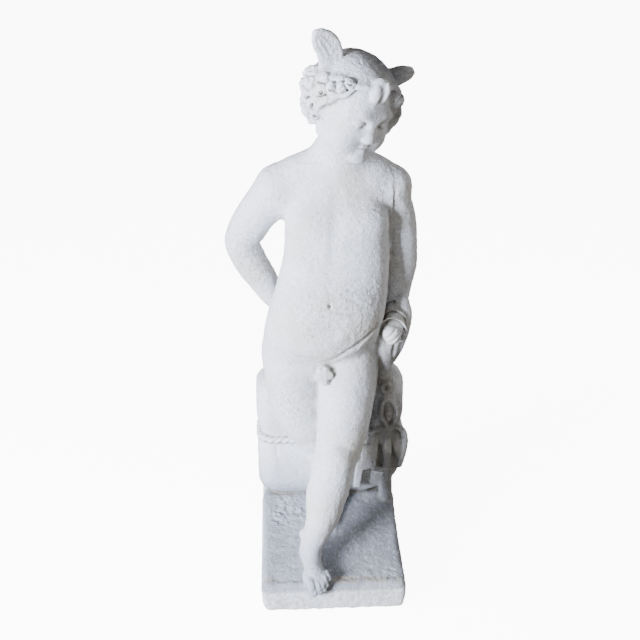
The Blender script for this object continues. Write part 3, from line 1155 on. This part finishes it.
def beyond_base(x, y, z):
    """Distance outside ground and bale: above the ground by 12 mm, and in front of or above the bale."""
    above_ground = z - ground_height(y) - 0.012
    return np.minimum(above_ground, np.maximum(0.048 - y, z - 0.386))


def beyond_staff(x, y, z):
    """Distance outside the block that holds the fist, the cloth and the staff, above the base."""
    return np.maximum(np.maximum(0.094 - x, z - 0.556), np.maximum(y - 0.080, -beyond_base(x, y, z)))


def beyond_figure(x, y, z):
    """Distance into any of the other three."""
    return -np.minimum(np.minimum(beyond_head(x, y, z), beyond_base(x, y, z)), beyond_staff(x, y, z))


PIECES = {
    "head": ((-0.065, -0.145, 0.795), (0.185, 0.100, 1.092), 0.00110, beyond_head),
    "figure": ((-0.205, -0.215, 0.040), (0.195, 0.160, 0.900), 0.0021, beyond_figure),
    "staff": ((0.060, -0.060, 0.085), (0.195, 0.110, 0.590), 0.00135, beyond_staff),
    "base": ((-0.165, -0.215, -0.010), (0.175, 0.200, 0.430), 0.0020, beyond_base),
}
MOST_TRIANGLES = 190_000


# %% Make the four skins
def sink_past_seam(clay, beyond):
    """Add depth * (distance past the seam / ease)^3 to the field."""
    x, y, z = clay["axes"]
    past = np.maximum(beyond(x[:, None, None], y[None, :, None], z[None, None, :]), 0)
    clay["field"] += (SEAM_DEPTH * np.minimum(past / SEAM_EASE, 9) ** 3).astype(np.float32)


def box_mean(values, reach):
    """The mean over a cube of 2 * reach + 1 cells, from running sums along each axis in turn."""
    for axis in range(3):
        padded = np.pad(values, [(reach + 1, reach) if i == axis else (0, 0) for i in range(3)], mode="edge")
        sums = np.cumsum(padded, axis=axis, dtype=np.float64)
        upper = np.take(sums, range(2 * reach + 1, sums.shape[axis]), axis)
        values = ((upper - np.take(sums, range(values.shape[axis]), axis)) / (2 * reach + 1)).astype(np.float32)
    return values


def make_skin(name):
    """Model the statue in one block, keep how hollow each place is, and return points, faces and hollows."""
    low, high, cell, beyond = PIECES[name]
    clay = new_clay(low, high, cell)
    model_statue(clay)
    stone = np.clip(0.5 - clay["field"] / cell, 0, 1)
    around = [{**clay, "field": box_mean(stone, round(reach / cell))} for reach in (0.004, 0.010)]
    sink_past_seam(clay, beyond)
    points, faces = surface_nets(clay)
    points = settle(clay, points)
    hollows = [read_field(block, points) for block in around]
    points = points + relief(points)[:, None] * slope(clay, points)
    points[:, 2] = np.where(points[:, 2] < 0.0006, 0, points[:, 2])
    return points, faces, hollows


skins = {}
for name in PIECES:
    skins[name] = make_skin(name)
    print(name, len(skins[name][0]), "points")


# %% [markdown]
# ## Meshes
#
# The arrays go into Blender with foreach_set, which copies a whole array at once. Each point also carries
# how much stone lies within 4 mm and within 10 mm of it: over a half in a hollow, under a half on an edge.
# The paint reads both, for dirt and wear. A Decimate modifier thins the flat stretches afterwards.

# %% Put the skins into meshes
def put_in_mesh(name, points, faces, hollows):
    """A smooth-shaded mesh object with its hollows as attributes, thinned to the limit, and nowhere below 0."""
    mesh = bpy.data.meshes.new(name)
    mesh.vertices.add(len(points))
    mesh.vertices.foreach_set("co", points.astype(np.float32).ravel())
    mesh.loops.add(faces.size)
    mesh.loops.foreach_set("vertex_index", faces.astype(np.int32).ravel())
    mesh.polygons.add(len(faces))
    mesh.polygons.foreach_set("loop_start", np.arange(0, faces.size, 4, dtype=np.int32))
    mesh.update(calc_edges=True)
    for layer, values in zip(("hollow_4mm", "hollow_10mm"), hollows):
        mesh.attributes.new(layer, "FLOAT", "POINT").data.foreach_set("value", values.astype(np.float32))
    piece = bpy.data.objects.new(name, mesh)
    bpy.context.scene.collection.objects.link(piece)
    thin = piece.modifiers.new("Thin", "DECIMATE")
    thin.ratio = min(1, MOST_TRIANGLES / (2 * len(faces)))
    thinned = bpy.data.meshes.new_from_object(piece.evaluated_get(bpy.context.evaluated_depsgraph_get()))
    spots = np.empty(3 * len(thinned.vertices), np.float32)
    thinned.vertices.foreach_get("co", spots)
    spots[2::3] = np.maximum(spots[2::3], 0)
    thinned.vertices.foreach_set("co", spots)
    piece.modifiers.clear()
    piece.data = thinned
    thinned.shade_smooth()
    return piece


pieces = {name: put_in_mesh(name, *skin) for name, skin in skins.items()}
for name, piece in pieces.items():
    print(name, len(piece.data.polygons), "faces")

# %% [markdown]
# ## Paint
#
# White masonry paint over cast stone is matt, and cool in the light. Rain leaves soil in the hollows, and
# grime stays where no rain reaches: on the staff, and on the cap's and the hair's far side. The cap's top has
# grey streaks of algae, and splashes grey the foot. Where the paint has worn through in patches, pebbles of
# the stone and small rusty freckles show. It could be four materials with masks between them. It is one,
# because it is one coat on one casting, and each layer is a mix whose mask is worked out on the surface.

# %% Helpers for materials
def srgb(code):
    """An sRGB hex colour as linear values: c/12.92 when dark, otherwise ((c + 0.055)/1.055)^2.4."""
    channels = [int(code[i:i + 2], 16) / 255 for i in (1, 3, 5)]
    return (*[c / 12.92 if c <= 0.04045 else ((c + 0.055) / 1.055) ** 2.4 for c in channels], 1.0)


def add_node(tree, kind, settings=()):
    """Add a node. A setting is a property of it, a value for one of its sockets, or a socket to link there."""
    node = tree.nodes.new(kind)
    for key, value in dict(settings).items():
        if isinstance(value, bpy.types.NodeSocket):
            tree.links.new(value, node.inputs[key])
        elif isinstance(key, str) and hasattr(node, key):
            setattr(node, key, value)
        else:
            node.inputs[key].default_value = value
    return node


def add_layer(tree, under, colour, mask, *more):
    """Lay a colour over what is under it, as far as the product of the masks and numbers says."""
    for other in more:
        mask = add_node(tree, "ShaderNodeMath", {"operation": "MULTIPLY", 0: mask, 1: other}).outputs[0]
    return add_node(tree, "ShaderNodeMix", {"data_type": "RGBA", 0: mask, 6: under, 7: colour}).outputs[2]


def noise_mask(tree, place, size_mm, low, high, detail=3.0):
    """Cloudy noise with features of a real size: 0 below low, 1 above high, and a straight rise between."""
    noise = add_node(tree, "ShaderNodeTexNoise", {"Vector": place, "Scale": 1000 / size_mm, "Detail": detail})
    rise = {"Value": noise.outputs["Fac"], "From Min": low, "From Max": high}
    return add_node(tree, "ShaderNodeMapRange", rise).outputs[0]


# %% Where the weather has marked the paint
FRECKLE_PATCHES = [((-0.010, -0.062, 0.540), 0.075), ((0.030, -0.060, 0.500), 0.050),
                   ((-0.140, 0.080, 0.590), 0.050), ((-0.045, -0.022, 0.655), 0.030)]
SHELTERED = [((0.125, 0.030, 0.400), 0.090), ((0.120, 0.030, 0.290), 0.100), ((0.125, 0.040, 0.180), 0.095),
             ((0.143, -0.035, 0.932), 0.060)]
CAP_TOP = [((0.112, -0.035, 1.010), 0.062), ((0.125, -0.035, 0.990), 0.055), ((0.082, -0.005, 1.035), 0.050)]
DAMP = [((0.095, -0.030, 0.085), 0.150), ((0.050, 0.020, 0.105), 0.080)]


def patch_mask(tree, place, patches):
    """Round patches: 1 at each middle, falling to 0 at its radius."""
    total = 0.0
    for middle, radius in patches:
        between = {"operation": "DISTANCE", 0: place, 1: middle}
        away = add_node(tree, "ShaderNodeVectorMath", between).outputs["Value"]
        fall = {"Value": away, "From Min": radius, "From Max": 0.3 * radius}
        near = add_node(tree, "ShaderNodeMapRange", fall).outputs[0]
        total = add_node(tree, "ShaderNodeMath", {"operation": "MAXIMUM", 0: near, 1: total}).outputs[0]
    return total


# %% Painted cast stone
def painted_cast_stone():
    """Cool white masonry paint, brushed on upright, matt: it gives bright broad planes and soft grey shade."""
    material = bpy.data.materials.new("painted cast stone")
    material.use_nodes = True
    tree = material.node_tree
    shader = tree.nodes["Principled BSDF"]
    shader.inputs["Roughness"].default_value = 0.84
    place = add_node(tree, "ShaderNodeTexCoord").outputs["Object"]

    colour = add_layer(tree, srgb("#E6E9EF"), srgb("#DBD9D1"), noise_mask(tree, place, 90, 0.45, 0.70))
    colour = add_layer(tree, colour, srgb("#C6C9CE"), noise_mask(tree, place, 5, 0.44, 0.64), 0.55)
    colour = paint_worn_ground(tree, place, colour)
    colour = add_soil(tree, place, colour)
    colour = add_layer(tree, colour, srgb("#A5A59F"), noise_mask(tree, place, 5.5, 0.46, 0.62),
                       patch_mask(tree, place, PEBBLED), 0.55)
    patches = patch_mask(tree, place, FRECKLE_PATCHES)
    fade = {"Value": patches, "From Min": -0.4, "From Max": 1.0}
    faded = add_node(tree, "ShaderNodeMapRange", fade).outputs[0]
    colour = add_layer(tree, colour, srgb("#BFBBAC"), noise_mask(tree, place, 7, 0.44, 0.66), faded, 0.55)
    colour = add_layer(tree, colour, srgb("#83827D"), patch_mask(tree, place, SHELTERED),
                       noise_mask(tree, place, 40, 0.20, 0.50), 0.80)
    streaks = add_node(tree, "ShaderNodeMapping", {"Vector": place, "Scale": (1.0, 0.3, 1.0)}).outputs[0]
    colour = add_layer(tree, colour, srgb("#6C717F"), patch_mask(tree, place, CAP_TOP),
                       noise_mask(tree, streaks, 9, 0.10, 0.50), 0.85)
    colour = add_layer(tree, colour, srgb("#A98B6C"), noise_mask(tree, place, 3.2, 0.60, 0.68, 1.0),
                       patches, 0.75)

    cells = add_node(tree, "ShaderNodeTexVoronoi", {"Vector": place, "Scale": 1000 / 17}).outputs["Distance"]
    fall = {"Value": cells, "From Min": 0.085, "From Max": 0.055}
    middles = add_node(tree, "ShaderNodeMapRange", fall).outputs[0]
    rare = noise_mask(tree, place, 60, 0.50, 0.58, 1.0)
    pinhole = add_node(tree, "ShaderNodeMath", {"operation": "MULTIPLY", 0: middles, 1: rare}).outputs[0]
    colour = add_layer(tree, colour, srgb("#6B675E"), pinhole, 0.8)
    tree.links.new(colour, shader.inputs["Base Color"])
    tree.links.new(coat_bump(tree, place, pinhole), shader.inputs["Normal"])
    return material


def add_soil(tree, place, colour):
    """Soil where more than 54% of the 10 mm round a place is stone, and darker soil past 60% of the 4 mm."""
    cloudy = noise_mask(tree, place, 25, 0.25, 0.60)
    for layer, code, low, high, top, *more in (("hollow_10mm", "#8A867A", 0.54, 0.74, 0.80, cloudy),
                                               ("hollow_4mm", "#5E5A50", 0.60, 0.80, 0.85)):
        hollow = add_node(tree, "ShaderNodeAttribute", {"attribute_name": layer}).outputs["Fac"]
        rise = {"Value": hollow, "From Min": low, "From Max": high, "To Max": top}
        stone_near = add_node(tree, "ShaderNodeMapRange", rise).outputs[0]
        colour = add_layer(tree, colour, srgb(code), stone_near, *more)
    return colour


def paint_worn_ground(tree, place, colour):
    """Rain splashes grey the foot. On the plinth's top the paint is thin: grey stone shows through in drifts,
    darker where it stays damp, with soil along the front edge and brushed light specks."""
    axes = add_node(tree, "ShaderNodeSeparateXYZ", {0: place}).outputs
    rise = (GROUND_TOP - PLINTH_TOP) / (RISE_END - RISE_START)
    line = {"operation": "MULTIPLY_ADD", 0: axes["Y"], 1: rise, 2: PLINTH_TOP - rise * RISE_START}
    level = add_node(tree, "ShaderNodeMath", line).outputs[0]
    signed = add_node(tree, "ShaderNodeMath", {"operation": "SUBTRACT", 0: axes["Z"], 1: level}).outputs[0]
    above = add_node(tree, "ShaderNodeMath", {"operation": "ABSOLUTE", 0: signed}).outputs[0]
    ground, low_down, outside = (
        add_node(tree, "ShaderNodeMapRange", {"Value": value, "From Min": low, "From Max": high}).outputs[0]
        for value, low, high in ((above, 0.014, 0.004), (signed, 0.100, 0.015), (signed, -0.014, -0.004)))
    colour = add_layer(tree, colour, srgb("#9CA1AE"), low_down, outside, 0.80)
    colour = add_layer(tree, colour, srgb("#A2A6B0"), ground, 0.85)
    colour = add_layer(tree, colour, srgb("#868A94"), ground, noise_mask(tree, place, 60, 0.35, 0.65), 0.6)
    colour = add_layer(tree, colour, srgb("#7C808A"), ground, patch_mask(tree, place, DAMP), 0.75)
    edge = {"operation": "COMPARE", 0: axes["Y"], 1: -0.170, 2: 0.010}
    behind_edge = add_node(tree, "ShaderNodeMath", edge).outputs[0]
    colour = add_layer(tree, colour, srgb("#A99E8E"), ground, behind_edge,
                       noise_mask(tree, place, 45, 0.40, 0.60), 0.65)
    brushed = add_node(tree, "ShaderNodeMapping", {"Vector": place, "Scale": (1.0, 0.4, 0.4)}).outputs[0]
    specks = noise_mask(tree, brushed, 4, 0.55, 0.66, 2.0)
    return add_layer(tree, colour, srgb("#D9DCE2"), ground, specks, 0.32)


def coat_bump(tree, place, pinhole):
    """Height in metres: grains of 4 mm, brush marks 1.5 mm wide and 14 mm tall, and the pinholes. A brush's
    real marks are half a millimetre wide. They are drawn coarser here, because finer ones wouldn't show."""
    grains = {"Vector": place, "Scale": 1000 / 3.8, "Detail": 3.0}
    grain = add_node(tree, "ShaderNodeTexNoise", grains).outputs["Fac"]
    stretched = add_node(tree, "ShaderNodeMapping", {"Vector": place, "Scale": (1.0, 1.0, 0.11)}).outputs[0]
    marks = {"Vector": stretched, "Scale": 1000 / 1.5, "Detail": 1.0}
    brush = add_node(tree, "ShaderNodeTexNoise", marks).outputs["Fac"]
    height = grain
    for other, share in ((brush, 0.18), (pinhole, -1.2)):
        settings = {"operation": "MULTIPLY_ADD", 0: other, 1: share, 2: height}
        height = add_node(tree, "ShaderNodeMath", settings).outputs[0]
    return add_node(tree, "ShaderNodeBump", {"Strength": 0.9, "Distance": 0.0014, "Height": height}).outputs[0]


paint = painted_cast_stone()
for piece in pieces.values():
    piece.data.materials.clear()
    piece.data.materials.append(paint)
    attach(piece, "root")
    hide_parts("statue")
print(paint.name, "has", len(paint.node_tree.nodes), "nodes")

# %% [markdown]
# ## Camera
#
# The photographer stood about 2.3 m away and held the camera 1.35 m up, so it looks down by 20 degrees.
# A constraint could keep it aimed at the statue. Three angles that are set once are plainer, and they leave
# the camera free to be moved for the other views.

# %% Camera
CAMERA_PLACE = np.array((-0.082, -2.300, 1.350))
PITCH, YAW, ROLL = 19.8, 1.74, 1.0
FOCAL_PIXELS, PICTURE_PIXELS, SENSOR_MM = 1279, 640, 36.0


def matrix_angles(matrix):
    """Euler angles about x, y and z of a rotation matrix."""
    about_x, about_z = math.atan2(matrix[2, 1], matrix[2, 2]), math.atan2(matrix[1, 0], matrix[0, 0])
    return about_x, -math.asin(matrix[2, 0]), about_z


def add_camera():
    """Aim by pitch and yaw, roll about the line of sight, and take the lens from the focal length in pixels."""
    data = bpy.data.cameras.new("camera")
    data.sensor_width = SENSOR_MM
    data.lens = SENSOR_MM * FOCAL_PIXELS / PICTURE_PIXELS
    camera = bpy.data.objects.new("camera", data)
    camera.location = CAMERA_PLACE
    aim = turning(z=-YAW) @ turning(x=90 - PITCH) @ turning(z=-ROLL)
    camera.rotation_euler = matrix_angles(aim)
    bpy.context.scene.collection.objects.link(camera)
    bpy.context.scene.camera = camera


add_camera()
print("lens, mm:", round(bpy.context.scene.camera.data.lens, 1))

# %% [markdown]
# ## Floor and lights
#
# The white is a board of frosted acrylic, lit from beneath and curved up behind, the usual table for
# pictures on white. Black card would keep its glow off a real object; here the board is simply not seen by
# diffuse rays. One large soft box stands low on the left, as the sun did, with a weak one further round.
# A small one behind picks out the far edge, and a broad weak one in front keeps the shade readable.

# %% Floor and lights
def add_floor():
    """A round board, flat to a radius of 7 m and then a quarter circle up, as a profile turned about z."""
    angle = np.linspace(0, np.pi / 2, 16)
    reach = np.concatenate([[0.0, 3.0], 7 + 6 * np.sin(angle), [13.0]])
    height = np.concatenate([[0.0, 0.0], 6 - 6 * np.cos(angle), [14.0]]) - 0.0005
    turn = np.linspace(0, 2 * np.pi, 65)[:-1, None]
    points = np.stack([reach * np.cos(turn), reach * np.sin(turn), height + 0 * turn], axis=2).reshape(-1, 3)
    count = len(reach)
    near = (np.arange(64)[:, None] * count + np.arange(count - 1)).ravel()
    far = ((np.arange(64)[:, None] + 1) % 64 * count + np.arange(count - 1)).ravel()
    mesh = bpy.data.meshes.new("floor")
    mesh.from_pydata(points.tolist(), [], np.stack([near, near + 1, far + 1, far], axis=1).tolist())
    mesh.shade_smooth()
    floor = bpy.data.objects.new("floor", mesh)
    bpy.context.scene.collection.objects.link(floor)
    board = bpy.data.materials.new("frosted acrylic lit from beneath")
    board.use_nodes = True
    shader = board.node_tree.nodes["Principled BSDF"]
    shader.inputs["Base Color"].default_value = srgb("#F4F5F6")
    shader.inputs["Roughness"].default_value = 0.7
    shader.inputs["Emission Color"].default_value = (1, 1, 1, 1)
    shader.inputs["Emission Strength"].default_value = 10.0
    mesh.materials.append(board)
    floor.visible_diffuse = floor.visible_glossy = floor.visible_shadow = False


def add_lamp(name, turn, height, distance, size, power, colour):
    """A square soft box at an angle from the camera's side and above the level, aimed at the chest."""
    turn, height = math.radians(turn), math.radians(height)
    away = np.array((math.sin(turn) * math.cos(height), -math.cos(turn) * math.cos(height), math.sin(height)))
    data = bpy.data.lights.new(name, "AREA")
    data.size, data.energy, data.color = size, power, srgb(colour)[:3]
    lamp = bpy.data.objects.new(name, data)
    lamp.location = away * distance + (0, 0, 0.55)
    lamp.rotation_euler = (math.atan2(math.hypot(away[0], away[1]), away[2]), 0, math.atan2(away[0], -away[1]))
    bpy.context.scene.collection.objects.link(lamp)


add_floor()
add_lamp("soft box", -47, 7, 3.2, 1.2, 440, "#EAF0FF")
add_lamp("side box", -88, 8, 3.2, 1.4, 50, "#FBFCFF")
add_lamp("rim box", 118, 10, 2.4, 0.8, 20, "#FFFFFF")
add_lamp("fill box", 28, -2, 3.2, 2.2, 13, "#FFFAF2")
world = bpy.data.worlds.new("studio")
world.use_nodes = True
world.node_tree.nodes["Background"].inputs["Color"].default_value = srgb("#FFF8EE")
world.node_tree.nodes["Background"].inputs["Strength"].default_value = 0.15
bpy.context.scene.world = world
print(len(bpy.data.lights), "lamps")
